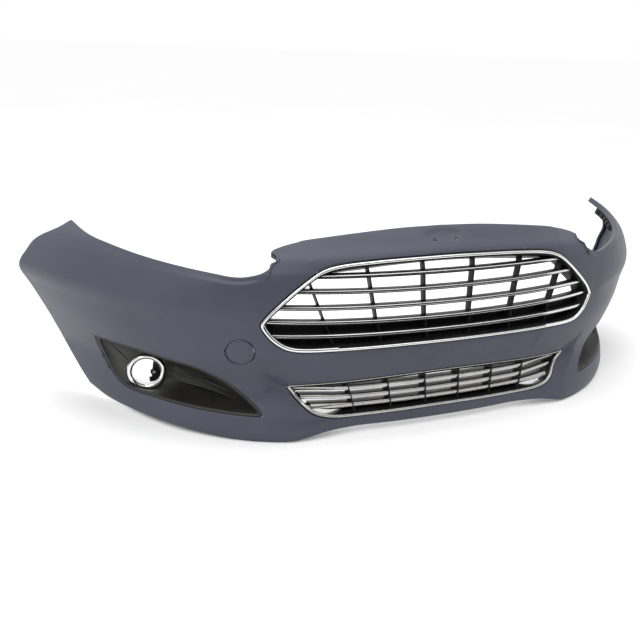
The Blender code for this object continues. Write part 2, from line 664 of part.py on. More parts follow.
# Main -----------------------------------------------------------------------------------
def main():
    clear_scene()
    primer = make_material("primer_grey", (0.115, 0.120, 0.155), 0.42)
    black = make_material("black_plastic", (0.012, 0.012, 0.013), 0.38)
    chrome = make_material("chrome", (0.86, 0.87, 0.88), 0.08, 1.0)
    satin = make_material("satin_chrome", (0.62, 0.62, 0.61), 0.28, 1.0)
    bezel_black = make_material("grained_black", (0.020, 0.019, 0.018), 0.62)
    steel = make_material("zinc_steel", (0.45, 0.45, 0.44), 0.40, 1.0)
    skin = build_skin(primer)
    cut_skin(skin)
    build_upper_trim(chrome)
    build_upper_grille(black, chrome)
    build_lower_grille(black, satin)
    for side, name in ((-1, "left"), (1, "right")):
        build_fog_lamp(side, name, bezel_black, chrome, steel)
        build_wing_bracket(side, name, black, steel)
    build_tow_cap(primer)


main()
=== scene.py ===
# %% [markdown]
# # A front bumper cover
# The cover is one big moulded shell that has been primed but not painted. Grilles, lamp bezels,
# bright trim and brackets are clipped into it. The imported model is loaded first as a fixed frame.
# Every finer piece below is made on the same body surface, so nothing has to be fitted by eye.

# %% Load the frame
import math
import bmesh
import bpy
import numpy as np
from mathutils import Matrix, Vector


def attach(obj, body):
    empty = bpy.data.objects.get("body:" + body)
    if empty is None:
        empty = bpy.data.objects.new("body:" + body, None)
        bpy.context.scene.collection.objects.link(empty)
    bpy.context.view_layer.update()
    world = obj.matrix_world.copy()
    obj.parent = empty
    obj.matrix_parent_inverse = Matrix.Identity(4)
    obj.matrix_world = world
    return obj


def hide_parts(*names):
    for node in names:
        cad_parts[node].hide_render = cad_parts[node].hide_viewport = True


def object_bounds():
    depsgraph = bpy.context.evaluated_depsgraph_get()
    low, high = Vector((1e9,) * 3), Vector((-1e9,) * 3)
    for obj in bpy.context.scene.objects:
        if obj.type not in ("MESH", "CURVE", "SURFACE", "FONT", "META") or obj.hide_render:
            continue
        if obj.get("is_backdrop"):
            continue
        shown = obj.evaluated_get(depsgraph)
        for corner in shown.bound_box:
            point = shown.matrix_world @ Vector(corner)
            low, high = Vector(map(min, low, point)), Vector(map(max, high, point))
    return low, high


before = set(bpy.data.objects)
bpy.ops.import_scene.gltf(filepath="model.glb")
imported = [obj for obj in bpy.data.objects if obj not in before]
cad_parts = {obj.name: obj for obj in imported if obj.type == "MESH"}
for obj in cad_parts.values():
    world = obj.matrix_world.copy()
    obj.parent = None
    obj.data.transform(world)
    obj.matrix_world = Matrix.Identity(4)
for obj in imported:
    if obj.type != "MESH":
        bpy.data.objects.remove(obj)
cad_low, cad_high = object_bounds()
print("frame box", [round(c, 3) for c in (*cad_low, *cad_high)])

# %% [markdown]
# ## The body surface
# A styling surface could be sculpted with subdivision patches, but then every trim strip would
# need its own fitting. Here the surface is a formula instead: a centre-line profile, a width at
# each height, and a bow that grows quickly towards the wings. Any point of the front view has one
# depth, and every piece asks the same function for it.

# %% Body tables
BACKSET = -0.2344
BOW = 0.12
CORNER = 0.39
CORNER_POWER = 4.2
CROWN = 0.17
CROWN_HALF = 0.37
CHIN_DEPTH = 0.034
POCKET_DEPTH = 0.013
POCKET_SLOPE = 0.030
SLOPE_STEP = 0.0015
SPINE = [(0.0, -0.006), (0.030, -0.014), (0.064, -0.016), (0.090, -0.012), (0.112, -0.008),
         (0.150, -0.016), (0.199, -0.023), (0.256, -0.014), (0.310, -0.008), (0.374, 0.002),
         (0.395, 0.012), (0.410, 0.030), (0.425, 0.047), (0.440, 0.066)]
HALF_WIDTHS = [(0.0, 0.775), (0.040, 0.783), (0.080, 0.784), (0.113, 0.786), (0.150, 0.794),
               (0.190, 0.808), (0.250, 0.838), (0.290, 0.857), (0.330, 0.845), (0.370, 0.814),
               (0.407, 0.772), (0.440, 0.735)]


# %% Body surface functions
def through(table, value):
    """Smooth curve through a short table of (position, height) pairs."""
    xs, ys = np.array(table).T
    slopes = np.gradient(ys, xs)
    value = np.clip(value, xs[0], xs[-1])
    i = np.clip(np.searchsorted(xs, value, side="right") - 1, 0, len(xs) - 2)
    step = xs[i + 1] - xs[i]
    t = (value - xs[i]) / step
    start = (2 * t**3 - 3 * t**2 + 1) * ys[i] + (t**3 - 2 * t**2 + t) * step * slopes[i]
    end = (3 * t**2 - 2 * t**3) * ys[i + 1] + (t**3 - t**2) * step * slopes[i + 1]
    return start + end


def ramp(value, low, high):
    """0 below low, 1 above high, straight between them."""
    return np.clip((value - low) / (high - low), 0.0, 1.0)


def ease(value, low, high):
    """Like ramp, but with soft ends."""
    t = ramp(value, low, high)
    return t * t * (3 - 2 * t)


def pocket(x, z):
    """Share of the full depth of the hollow at each end of the lower grille, 0 to 1."""
    side = np.abs(x)
    above = np.maximum(0.134 - 0.029 * side, 0.124 + 0.586 * (side - 0.348)) - z
    outside = np.minimum(0.25 * (z - 0.165) + 0.97 * (0.418 - side),
                         0.775 * (z - 0.099) + 0.632 * (0.401 - side))
    below = np.where(side > 0.303, z - 0.045 - 0.227 * (side - 0.303), z - 0.043)
    room = np.minimum(np.minimum(above, below + 0.002), outside)
    return ramp(room, 0.0, POCKET_SLOPE) * ease(side, 0.20, 0.33)


def skin_y(x, z):
    """Depth of the body surface at a point of the front view."""
    side = np.abs(x)
    reach = side / through(HALF_WIDTHS, z)
    bow = BOW * reach**2 + CORNER * reach**CORNER_POWER
    crowned = z + CROWN * np.minimum(side, CROWN_HALF)**2 * ramp(z, 0.36, 0.41)
    chin = ease(side, 0.18, 0.36) * (1 - ease(side, 0.55, 0.75)) * (1 - ease(z, 0.0, 0.10))
    return through(SPINE, crowned) + bow - CHIN_DEPTH * chin + POCKET_DEPTH * pocket(x, z) + BACKSET


def inward(x, z):
    """Unit vectors that point into the body, square to the surface."""
    across = (skin_y(x + SLOPE_STEP, z) - skin_y(x - SLOPE_STEP, z)) / (2 * SLOPE_STEP)
    upward = (skin_y(x, z + SLOPE_STEP) - skin_y(x, z - SLOPE_STEP)) / (2 * SLOPE_STEP)
    normal = np.stack([-across, np.ones_like(across), -upward], axis=-1)
    return normal / np.linalg.norm(normal, axis=-1, keepdims=True)


def on_skin(points, depth=0.0):
    """Places on the surface for (x, z) points, or square behind it."""
    x, z = np.asarray(points, float).T
    return np.column_stack([x, skin_y(x, z), z]) + inward(x, z) * depth


print("nose plane", round(float(skin_y(0.0, 0.2)), 4))

# %% [markdown]
# ## Outlines
# An outline is a short list of points in the front view. A Catmull-Rom curve runs through them,
# which keeps the corners where a designer would put them and rounds everything between.


# %% Outline helpers
def smooth_line(points, steps=8, closed=False):
    """Catmull-Rom curve through (x, z) points."""
    points = np.array(points, float)
    if closed:
        ends = np.vstack([points[-1:], points, points[:2]])
    else:
        ends = np.vstack([2 * points[0] - points[1], points, 2 * points[-1] - points[-2]])
    t = np.linspace(0.0, 1.0, steps, endpoint=False)[:, None]
    runs = []
    for a, b, c, d in zip(ends, ends[1:], ends[2:], ends[3:]):
        runs.append(0.5 * (2 * b + (c - a) * t + (2 * a - 5 * b + 4 * c - d) * t * t
                           + (3 * b - a - 3 * c + d) * t**3))
    if not closed:
        runs.append(points[-1:])
    return np.vstack(runs)


def both_halves(half):
    """Closed outline from its +X half, which starts and ends on the centre line."""
    return list(half) + [(-x, z) for x, z in half[-2:0:-1]]


def evenly(points, count, closed=False):
    """Points at equal steps along the surface."""
    points = np.asarray(points, float)
    if closed:
        points = np.vstack([points, points[:1]])
    places = on_skin(points)
    length = np.concatenate([[0.0], np.cumsum(np.linalg.norm(np.diff(places, axis=0), axis=1))])
    wanted = np.linspace(0.0, length[-1], count, endpoint=not closed)
    return np.column_stack([np.interp(wanted, length, points[:, k]) for k in (0, 1)])


def turned_in(points, closed=False):
    """In-plane normals that point into a clockwise outline."""
    if closed:
        run = np.roll(points, -1, axis=0) - np.roll(points, 1, axis=0)
    else:
        run = np.gradient(points, axis=0)
    run /= np.linalg.norm(run, axis=1)[:, None]
    return np.column_stack([run[:, 1], -run[:, 0]])


TOP_EDGE = [(0.0, 0.437), (0.10, 0.4345), (0.20, 0.427), (0.29, 0.417), (0.330, 0.410),
            (0.356, 0.4040), (0.3775, 0.3968), (0.3795, 0.3880), (0.385, 0.377), (0.399, 0.366),
            (0.418, 0.3575), (0.443, 0.352), (0.467, 0.352), (0.495, 0.356), (0.548, 0.363),
            (0.617, 0.372), (0.668, 0.380), (0.708, 0.387), (0.734, 0.399)]
BOTTOM_EDGE = [(0.0, 0.017), (0.10, 0.017), (0.20, 0.0175), (0.270, 0.017), (0.310, 0.011),
               (0.345, 0.003), (0.380, 0.0002), (0.430, 0.0002), (0.480, 0.002), (0.564, 0.009),
               (0.642, 0.010), (0.688, 0.012), (0.722, 0.027)]
ARCH_EDGE = [(0.722, 0.027), (0.746, 0.069), (0.770, 0.115), (0.797, 0.175), (0.826, 0.235),
             (0.852, 0.287), (0.832, 0.330), (0.803, 0.361), (0.734, 0.399)]
UPPER_GRILLE = [(0.0, 0.389), (0.12, 0.387), (0.19, 0.384), (0.241, 0.380), (0.277, 0.3735),
                (0.305, 0.362), (0.336, 0.340), (0.366, 0.315), (0.396, 0.287), (0.412, 0.267),
                (0.4165, 0.256), (0.411, 0.242), (0.396, 0.223), (0.378, 0.209), (0.357, 0.200),
                (0.325, 0.1965), (0.258, 0.197), (0.12, 0.198), (0.0, 0.198)]
LOWER_GRILLE = [(0.0, 0.132), (0.11, 0.130), (0.245, 0.1245), (0.340, 0.1185), (0.358, 0.116),
                (0.346, 0.096), (0.326, 0.071), (0.309, 0.057), (0.290, 0.049), (0.255, 0.043),
                (0.199, 0.041), (0.10, 0.042), (0.0, 0.043)]
FOG_BEZEL = [(0.7105, 0.1605), (0.701, 0.128), (0.682, 0.085), (0.657, 0.060), (0.606, 0.058),
             (0.513, 0.055), (0.421, 0.053), (0.410, 0.062), (0.427, 0.085), (0.467, 0.118),
             (0.525, 0.148), (0.574, 0.158), (0.642, 0.1665), (0.7050, 0.1655)]
upper_line = smooth_line(both_halves(UPPER_GRILLE), 10, closed=True)
lower_line = smooth_line(both_halves(LOWER_GRILLE), 8, closed=True)
fog_line = smooth_line(FOG_BEZEL, 8, closed=True)
print(len(upper_line), "points round the upper grille,", len(lower_line), "round the lower one")

# %% [markdown]
# ## Camera, floor and light
# A clipped-together moulding is shown on a plain pale floor. One large key light from the left
# and above, a softbox overhead and a white sky give long, calm reflections in the primer and in
# the bright trim. Plated trim only looks like metal when it has something dark to reflect beside
# the white, so one dark flag stands in front and another lies at its foot. The camera sees
# neither of them, only what they do to the reflections.


# %% Camera
LENS = 43.875
SENSOR = 36.0
CAMERA_PLACE = (-0.872, -1.6072, 0.8025)
CAMERA_FORWARD = (0.3626, 0.86877, -0.33729)
CAMERA_UP = (0.09148, 0.32699, 0.94059)


def look_matrix(place, forward, up):
    """Camera matrix from a view direction and an up direction."""
    back = -Vector(forward).normalized()
    right = Vector(up).cross(back).normalized()
    turn = Matrix((right, back.cross(right), back)).transposed().to_4x4()
    return Matrix.Translation(place) @ turn


camera_data = bpy.data.cameras.new("studio_camera")
camera_data.lens = LENS
camera_data.sensor_width = SENSOR
camera = bpy.data.objects.new("studio_camera", camera_data)
camera.matrix_world = look_matrix(CAMERA_PLACE, CAMERA_FORWARD, CAMERA_UP)
bpy.context.scene.collection.objects.link(camera)
bpy.context.scene.camera = camera
print("camera at", CAMERA_PLACE)


# %% Soft light and sky
AIM = (0, 0, 0.2)
KEY_POWER = 62
TOP_POWER = 40


def add_soft_light(name, place, size, power):
    """Rectangular light that faces the middle of the cover."""
    light = bpy.data.lights.new(name, "AREA")
    light.shape = "RECTANGLE"
    light.size, light.size_y = size
    light.energy = power
    item = bpy.data.objects.new(name, light)
    aim = Vector(AIM) - Vector(place)
    item.rotation_euler = aim.to_track_quat("-Z", "Y").to_euler()
    item.location = place
    bpy.context.scene.collection.objects.link(item)


add_soft_light("key_light", (-2.2, -2.4, 3.0), (2.4, 1.6), KEY_POWER)
add_soft_light("top_light", (0.2, 0.2, 3.2), (3.4, 2.0), TOP_POWER)
world = bpy.data.worlds.new("studio_sky")
world.use_nodes = True
sky = world.node_tree.nodes["Background"]
sky.inputs["Color"].default_value = (1.0, 1.0, 1.0, 1.0)
sky.inputs["Strength"].default_value = 1.0
bpy.context.scene.world = world
bpy.context.scene.view_settings.view_transform = "Standard"
print("key and top light", KEY_POWER, "and", TOP_POWER, "watts")

# %% Floor and dark flags
FLOOR_GAP = 0.0015


def add_stage_sheet(name, half, place, tilt=0.0):
    """Flat sheet of the studio; half is half its width and half its depth."""
    shape = bmesh.new()
    bmesh.ops.create_grid(shape, x_segments=1, y_segments=1, size=1.0)
    bmesh.ops.scale(shape, vec=(*half, 1.0), verts=shape.verts)
    turn = Matrix.Rotation(tilt, 3, "X")
    bmesh.ops.rotate(shape, cent=(0, 0, 0), matrix=turn, verts=shape.verts)
    bmesh.ops.translate(shape, vec=place, verts=shape.verts)
    mesh = bpy.data.meshes.new(name)
    shape.to_mesh(mesh)
    shape.free()
    item = bpy.data.objects.new(name, mesh)
    bpy.context.scene.collection.objects.link(item)
    item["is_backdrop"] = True
    return item


floor_level = float(cad_low[2]) - FLOOR_GAP
floor = add_stage_sheet("studio_floor", (60.0, 60.0), (0, 0, floor_level))
flag = add_stage_sheet("dark_flag", (3.6, 0.75), (0, -2.7, 0.80), math.pi / 2)
flag_foot = add_stage_sheet("dark_flag_foot", (3.0, 0.65), (0, -2.0, 0.004))
for dark_sheet in (flag, flag_foot):
    dark_sheet.visible_camera = False
print("floor at", round(floor_level, 4), "with two dark flags")

# %% [markdown]
# ## Finishes
# Each finish is a small node graph on Object coordinates, so its grain has a real size. The
# shell is satin grey primer with a faint orange-peel; the grilles are smooth black plastic;
# the lamp bezels are spark-eroded black with a fine grain, and the crests of their fins are
# glossier and a lighter black, a painted highlight; the trim is bright or satin plating. One
# helper makes all of them: slow noise mixes two tones and two roughnesses, and fine noise
# makes the bump.


# %% Finish helpers
NOISE_LOW = 0.3
NOISE_HIGH = 0.7
FINE_SHARE = 0.25


def add_node(tree, kind, **values):
    """New node with its sockets or its settings filled in."""
    node = tree.nodes.new(kind)
    for key, value in values.items():
        if key in node.inputs:
            node.inputs[key].default_value = value
        else:
            setattr(node, key, value)
    return node


def make_finish(name, dark, light, rough, grain, bump, metallic=0.0, patch=9.0, gloss=0.5):
    """Two tones mixed by slow noise; rough is a range; bump is (strength, depth)."""
    finish = bpy.data.materials.new(name)
    finish.use_nodes = True
    tree = finish.node_tree
    link = tree.links.new
    shader = tree.nodes["Principled BSDF"]
    shader.inputs["Metallic"].default_value = metallic
    shader.inputs["Specular IOR Level"].default_value = gloss
    place = tree.nodes.new("ShaderNodeTexCoord").outputs["Object"]
    slow = add_node(tree, "ShaderNodeTexNoise", Scale=patch, Detail=4.0, Roughness=0.6)
    fine = add_node(tree, "ShaderNodeTexNoise", Scale=grain, Detail=3.0, Roughness=0.55)
    link(place, slow.inputs["Vector"])
    link(place, fine.inputs["Vector"])
    both = add_node(tree, "ShaderNodeMath", operation="MULTIPLY_ADD")
    both.inputs[1].default_value = FINE_SHARE
    link(fine.outputs["Fac"], both.inputs[0])
    link(slow.outputs["Fac"], both.inputs[2])
    shift = add_node(tree, "ShaderNodeMath", operation="SUBTRACT")
    shift.inputs[1].default_value = FINE_SHARE / 2
    link(both.outputs[0], shift.inputs[0])
    tone = add_node(tree, "ShaderNodeValToRGB")
    for end, position, colour in ((0, NOISE_LOW, dark), (1, NOISE_HIGH, light)):
        tone.color_ramp.elements[end].position = position
        tone.color_ramp.elements[end].color = (*colour, 1.0)
    link(shift.outputs[0], tone.inputs["Fac"])
    link(tone.outputs["Color"], shader.inputs["Base Color"])
    spread = add_node(tree, "ShaderNodeMapRange", **{
        "From Min": NOISE_LOW, "From Max": NOISE_HIGH, "To Min": rough[0], "To Max": rough[1]})
    link(shift.outputs[0], spread.inputs["Value"])
    link(spread.outputs["Result"], shader.inputs["Roughness"])
    grain_bump = add_node(tree, "ShaderNodeBump", Strength=bump[0], Distance=bump[1])
    link(fine.outputs["Fac"], grain_bump.inputs["Height"])
    link(grain_bump.outputs["Normal"], shader.inputs["Normal"])
    return finish


# %% The finishes
primer = make_finish("primer_grey", (0.058, 0.0590, 0.083), (0.072, 0.0735, 0.101), (0.36, 0.46),
                     260.0, (0.10, 0.0004), patch=5.0, gloss=0.26)
black = make_finish("black_plastic", (0.006, 0.006, 0.007), (0.013, 0.013, 0.014),
                    (0.34, 0.50), 900.0, (0.15, 0.0003), patch=20.0, gloss=0.16)
# The fin crest beads get a lighter black than the bezel: the lighter colour is a painted highlight,
# the gloss is real.
painted_fin_highlight = make_finish("glossy_black_painted_highlight", (0.030, 0.0295, 0.028), (0.055, 0.054, 0.051),
                       (0.24, 0.34), 900.0, (0.10, 0.0003), patch=20.0, gloss=0.55)
grained = make_finish("grained_black", (0.013, 0.0125, 0.012), (0.026, 0.0245, 0.023),
                      (0.42, 0.56), 1500.0, (0.40, 0.0004), patch=14.0, gloss=0.38)
chrome = make_finish("chrome_trim", (0.76, 0.76, 0.76), (0.86, 0.86, 0.85), (0.05, 0.11),
                     40.0, (0.02, 0.0005), metallic=1.0, patch=18.0)
satin = make_finish("satin_chrome", (0.44, 0.44, 0.42), (0.56, 0.55, 0.53), (0.22, 0.34),
                    500.0, (0.05, 0.0003), metallic=1.0, patch=24.0)
zinc = make_finish("zinc_steel", (0.36, 0.36, 0.34), (0.52, 0.52, 0.50), (0.30, 0.50),
                   700.0, (0.20, 0.0003), metallic=1.0, patch=90.0)
white_floor = make_finish("floor_paper", (0.97, 0.97, 0.97), (0.985, 0.985, 0.985), (0.7, 0.9),
                          60.0, (0.02, 0.001), patch=1.0, gloss=0.1)
flag_cloth = make_finish("flag_cloth", (0.02, 0.02, 0.02), (0.03, 0.03, 0.03), (0.8, 0.95),
                         80.0, (0.02, 0.001), patch=2.0, gloss=0.1)
for stage_sheet, cover_stuff in ((flag, flag_cloth), (flag_foot, flag_cloth), (floor, white_floor)):
    stage_sheet.data.materials.append(cover_stuff)
print(len(bpy.data.materials), "materials")

# %% [markdown]
# ## The shell
# A cover like this is injection moulded: about 3 mm thick, with every edge rolled back into
# a narrow flange. It could be cut from a solid, but the openings are cleaner when they are cut
# from a flat slab in the front view. The front sheet of that slab is then laid on the body
# surface, its edges are extruded inwards for the rolled flange, and Solidify gives the wall.
# Dents and creases of the shell are one more formula, a depth behind the plain surface.

# %% Shell relief
BADGE_Z = 0.4195
BADGE_HALF = (0.056, 0.0120)
BADGE_DEPTH = 0.0040
PLATE_HALF = 0.243
PLATE_SLOPE = 0.29
PLATE_MIDDLE_Z = 0.147
PLATE_STEP = 0.007
PLATE_DEPTH = 0.0035
PLATE_DIMPLES = [(-0.096, 0.182), (0.093, 0.179), (0.112, 0.156)]
DIMPLE_RADIUS = 0.011
DIMPLE_DEPTH = 0.0009
LAMP_BAND = (0.0085, 0.0125)
LAMP_BAND_DEPTH = 0.0026
CREST_LINE = [(0.416, 0.257), (0.425, 0.259), (0.501, 0.274), (0.545, 0.279), (0.591, 0.283),
              (0.70, 0.285)]
CREST = 0.0035
CREST_FADE = 0.035
TOW_CENTRE = (-0.452, 0.197)
TOW_RADIUS = 0.0285
TOW_GAP = 0.0010
NOTCH_RADIUS = 0.006
NOTCH_DEPTH = 0.0018
top_line = smooth_line(TOP_EDGE, 12)
lamp_stretch = top_line[(top_line[:, 0] > 0.384) & (top_line[:, 0] < 0.734)]


def bump_at(x, z, spot, radius):
    """Round soft bump, 1 in the middle and 0 at its radius."""
    away = np.hypot(x - spot[0], z - spot[1]) / radius
    return np.clip(1 - away**2, 0.0, 1.0)**2


def relief(x, z):
    """How far details of the shell lie behind the plain body surface."""
    side = np.abs(x)
    badge = np.hypot(x / BADGE_HALF[0], (z - BADGE_Z) / BADGE_HALF[1])
    depth = BADGE_DEPTH * (1 - ease(badge, 0.55, 1.0))
    plate_side = PLATE_HALF + PLATE_SLOPE * (z - PLATE_MIDDLE_Z)
    plate = (1 - ease(side, plate_side - PLATE_STEP, plate_side)) * ease(z, 0.120, 0.165)
    depth = depth + PLATE_DEPTH * plate
    for spot in PLATE_DIMPLES:
        depth = depth + DIMPLE_DEPTH * bump_at(x, z, spot, DIMPLE_RADIUS)
    edge = np.interp(side, *lamp_stretch.T, left=9.0, right=9.0)
    lamp = (1 - ease(edge - z, *LAMP_BAND)) * ease(side, 0.402, 0.440)
    depth = depth + LAMP_BAND_DEPTH * lamp
    line = np.interp(side, *np.array(CREST_LINE).T)
    crest = np.exp(-np.abs(z - line) / CREST_FADE) * ease(side, 0.415, 0.47)
    depth = depth - CREST * crest * (1 - ease(side, 0.56, 0.74))
    notch = (TOW_CENTRE[0] - TOW_RADIUS - TOW_GAP, TOW_CENTRE[1])
    return depth + NOTCH_DEPTH * bump_at(x, z, notch, NOTCH_RADIUS)


print("badge dent is", round(float(relief(0.0, BADGE_Z)) * 1000, 1), "mm deep")


# %% Object and outline helpers
def new_object(name, shape, finish=None, smooth=40):
    """Object from a bmesh, shaded smooth below an angle in degrees."""
    mesh = bpy.data.meshes.new(name)
    shape.to_mesh(mesh)
    shape.free()
    item = bpy.data.objects.new(name, mesh)
    bpy.context.scene.collection.objects.link(item)
    mesh.shade_smooth()
    mesh.set_sharp_from_angle(angle=math.radians(smooth))
    if finish:
        mesh.materials.append(finish)
    return item


def only_verts(grown):
    """The vertices among what an extrusion has made."""
    return [v for v in grown if isinstance(v, bmesh.types.BMVert)]


def flat_prism(shape, outline, front, back):
    """Front-view outline extruded along Y into a shape that may hold others."""
    face = shape.faces.new([shape.verts.new((x, front, z)) for x, z in outline])
    grown = bmesh.ops.extrude_face_region(shape, geom=[face])["geom"]
    bmesh.ops.translate(shape, verts=only_verts(grown), vec=(0.0, back - front, 0.0))


def circle_line(centre, radius, steps, squash=1.0):
    """Circle in the front view; squash lowers it where the surface leans back."""
    turns = np.linspace(0, 2 * math.pi, steps, endpoint=False)
    return np.column_stack([centre[0] + radius * np.cos(turns),
                            centre[1] + radius * squash * np.sin(turns)])


def mirrored(points):
    """The same outline on the other side of the centre line."""
    return np.column_stack([-np.asarray(points)[:, 0], np.asarray(points)[:, 1]])


# %% Flat slab
COLUMNS = 344
ROWS = 92
SLAB = 0.010
top = evenly(top_line, COLUMNS // 2 + 1)
bottom = evenly(smooth_line(BOTTOM_EDGE, 12), COLUMNS // 2 + 1)
arch = evenly(smooth_line(ARCH_EDGE, 12), ROWS + 1)
middle = evenly([BOTTOM_EDGE[0], (0.0, 0.12), (0.0, 0.25), TOP_EDGE[0]], ROWS + 1)
slab = bmesh.new()
bmesh.ops.create_grid(slab, x_segments=COLUMNS, y_segments=ROWS, size=1.0)
for vert in slab.verts:
    u, v = abs(vert.co.x), (vert.co.y + 1) / 2
    i, j = round(u * COLUMNS / 2), round(v * ROWS)
    flat = (1 - v) * bottom[i] + v * top[i] + (1 - u) * middle[j] + u * arch[j]
    corner = ((1 - u) * (1 - v) * middle[0] + u * (1 - v) * arch[0]
              + (1 - u) * v * middle[-1] + u * v * arch[-1])
    x, z = flat - corner
    vert.co = (math.copysign(x, vert.co.x) if i else 0.0, 0.0, z)
grown = bmesh.ops.extrude_face_region(slab, geom=slab.faces[:])["geom"]
bmesh.ops.translate(slab, verts=only_verts(grown), vec=(0.0, SLAB, 0.0))
bmesh.ops.recalc_face_normals(slab, faces=slab.faces)
slab_item = new_object("shell_slab", slab)
print("slab:", COLUMNS, "by", ROWS, "faces on each side")

# %% Openings cut
PIN_HOLES = [(-0.027, 0.411), (0.027, 0.411)]
PIN_HOLE_RADIUS = 0.0030
PIN_HOLE_SQUASH = 0.55
cutters = bmesh.new()
holes = [upper_line, lower_line, fog_line, mirrored(fog_line),
         circle_line(TOW_CENTRE, TOW_RADIUS + TOW_GAP, 72)]
holes += [circle_line(spot, PIN_HOLE_RADIUS, 20, PIN_HOLE_SQUASH) for spot in PIN_HOLES]
for hole in holes:
    flat_prism(cutters, hole, -SLAB, 2 * SLAB)
bmesh.ops.recalc_face_normals(cutters, faces=cutters.faces)
cutter_item = new_object("shell_openings", cutters)
cut = slab_item.modifiers.new("openings", "BOOLEAN")
cut.operation = "DIFFERENCE"
cut.solver = "EXACT"
cut.object = cutter_item
ready = slab_item.evaluated_get(bpy.context.evaluated_depsgraph_get())
sheet = bmesh.new()
sheet.from_mesh(ready.to_mesh())
for item in (slab_item, cutter_item):
    bpy.data.objects.remove(item, do_unlink=True)
hidden = [f for f in sheet.faces if max(v.co.y for v in f.verts) > 1e-5]
bmesh.ops.delete(sheet, geom=hidden, context="FACES")
bmesh.ops.remove_doubles(sheet, verts=sheet.verts, dist=0.0003)
print("front sheet:", len(sheet.faces), "faces")

# %% [markdown]
# The shell has a small hook where the bonnet, the lamp and the cover meet. It is too small for
# the grid, so the sheet is subdivided there and its edge is drawn in sideways.

# %% Hook beside the bonnet
HOOK = (0.3785, 0.3870)
HOOK_DEPTH = 0.0095
HOOK_Z = 0.3860
HOOK_HALF = 0.0095


def near_hook(vert, radius):
    """Whether a flat point lies round either hook."""
    return math.hypot(abs(vert.co.x) - HOOK[0], vert.co.z - HOOK[1]) < radius


close_edges = [e for e in sheet.edges if all(near_hook(v, 0.030) for v in e.verts)]
bmesh.ops.subdivide_edges(sheet, edges=close_edges, cuts=2, use_grid_fill=True)
for vert in [v for v in sheet.verts if near_hook(v, 0.035)]:
    height = max(1 - ((vert.co.z - HOOK_Z) / HOOK_HALF)**2, 0.0)**2
    pull = HOOK_DEPTH * height * float(ease(abs(vert.co.x), 0.352, 0.374))
    vert.co.x -= math.copysign(pull, vert.co.x)
print("hook sheet:", len(sheet.faces), "faces")

# %% [markdown]
# The flat sheet now takes its depth from the body. Every open edge is then extruded four times
# over a small radius. Most edges end in a deep flange; the hole of the tow-eye lid ends in a
# narrow seat for the lid, and the two badge pins have plain holes.

# %% Edge profiles
ROLL = [(0.0004, 0.0002), (0.0007, 0.0006), (0.0009, 0.0014), (0.0009, 0.0130)]
LID_SEAT = [(0.0003, 0.0002), (0.0004, 0.0012), (0.0004, 0.0037), (0.0040, 0.0037)]
PIN_EDGE = [(0.0001, 0.0003), (0.0001, 0.0010), (0.0001, 0.0020), (0.0001, 0.0040)]
SEAT_REACH = 0.034
PIN_REACH = 0.010
SKIN_WALL = 0.0028


def lay_on_body(shape):
    """Move flat front-view points to their depth on the body."""
    flat = np.array([v.co for v in shape.verts])
    depth = skin_y(flat[:, 0], flat[:, 2]) + relief(flat[:, 0], flat[:, 2])
    for vert, y in zip(shape.verts, depth):
        vert.co.y = y


def edge_profile(place):
    """The (outward, inward) steps that the edge at this place is extruded through."""
    if math.hypot(place.x - TOW_CENTRE[0], place.z - TOW_CENTRE[1]) < SEAT_REACH:
        return LID_SEAT
    if any(math.hypot(place.x - x, place.z - z) < PIN_REACH for x, z in PIN_HOLES):
        return PIN_EDGE
    return ROLL


def roll_edges(shape):
    """Extrude every open edge over a small radius and back into the body."""
    edges = [e for e in shape.edges if e.is_boundary]
    outward = {}
    for edge in edges:
        face = edge.link_faces[0]
        run = (edge.verts[1].co - edge.verts[0].co).normalized()
        away = (edge.verts[0].co + edge.verts[1].co) / 2 - face.calc_center_median()
        away -= run * away.dot(run)
        push = away.normalized() * edge.calc_length()
        for vert in edge.verts:
            outward[vert] = outward.get(vert, Vector()) + push
    spots = {v: (v.co.copy(), out.normalized()) for v, out in outward.items()}
    for step in range(len(ROLL)):
        grown = bmesh.ops.extrude_edge_only(shape, edges=edges)["geom"]
        edges = [e for e in grown if isinstance(e, bmesh.types.BMEdge) and e.is_boundary]
        following = {}
        for vert in only_verts(grown):
            old = next(o for o in (e.other_vert(vert) for e in vert.link_edges) if o in spots)
            base, away = spots[old]
            following[vert] = (base, away)
            normal = Vector(inward(base.x, base.z))
            out, deep = edge_profile(base)[step]
            vert.co = base + away * out + normal * deep
        spots = following


# %% Shell with its rolled edges
lay_on_body(sheet)
roll_edges(sheet)
uneven = [e for e in sheet.edges if e.is_manifold and not e.is_contiguous]
facing = sum(f.normal.y * f.calc_area() for f in sheet.faces)
print("edges whose faces disagree:", len(uneven), " front faces out:", facing < 0)
if facing > 0:
    bmesh.ops.reverse_faces(sheet, faces=sheet.faces)
shell = new_object("fine_shell", sheet, primer, smooth=50)
wall = shell.modifiers.new("wall", "SOLIDIFY")
wall.thickness = SKIN_WALL
wall.offset = -1.0
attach(shell, "cover")
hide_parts("bumper_skin")

# %% [markdown]
# ## Swept strips
# Trim, grille frames and slats all have one section that runs along a line of the body. They
# could be curve objects with a bevel, but a curve keeps its section square to itself and not
# to the body. Here a ring of points is extruded from station to station instead, and every
# ring is set on the body surface.


# %% Sweep helpers
def grow_rings(shape, rings):
    """Extrude the first ring of points through all the others; gives its two end loops."""
    loop = [shape.verts.new(p) for p in rings[0]]
    start = edges = [shape.edges.new(pair) for pair in zip(loop, loop[1:] + loop[:1])]
    for places in rings[1:]:
        known = {v: k for k, v in enumerate(loop)}
        loop = [None] * len(places)
        for vert in only_verts(bmesh.ops.extrude_edge_only(shape, edges=edges)["geom"]):
            k = next(known[o] for o in (e.other_vert(vert) for e in vert.link_edges) if o in known)
            vert.co = places[k]
            loop[k] = vert
        edges = [shape.edges.get(pair) for pair in zip(loop, loop[1:] + loop[:1])]
    return start, edges


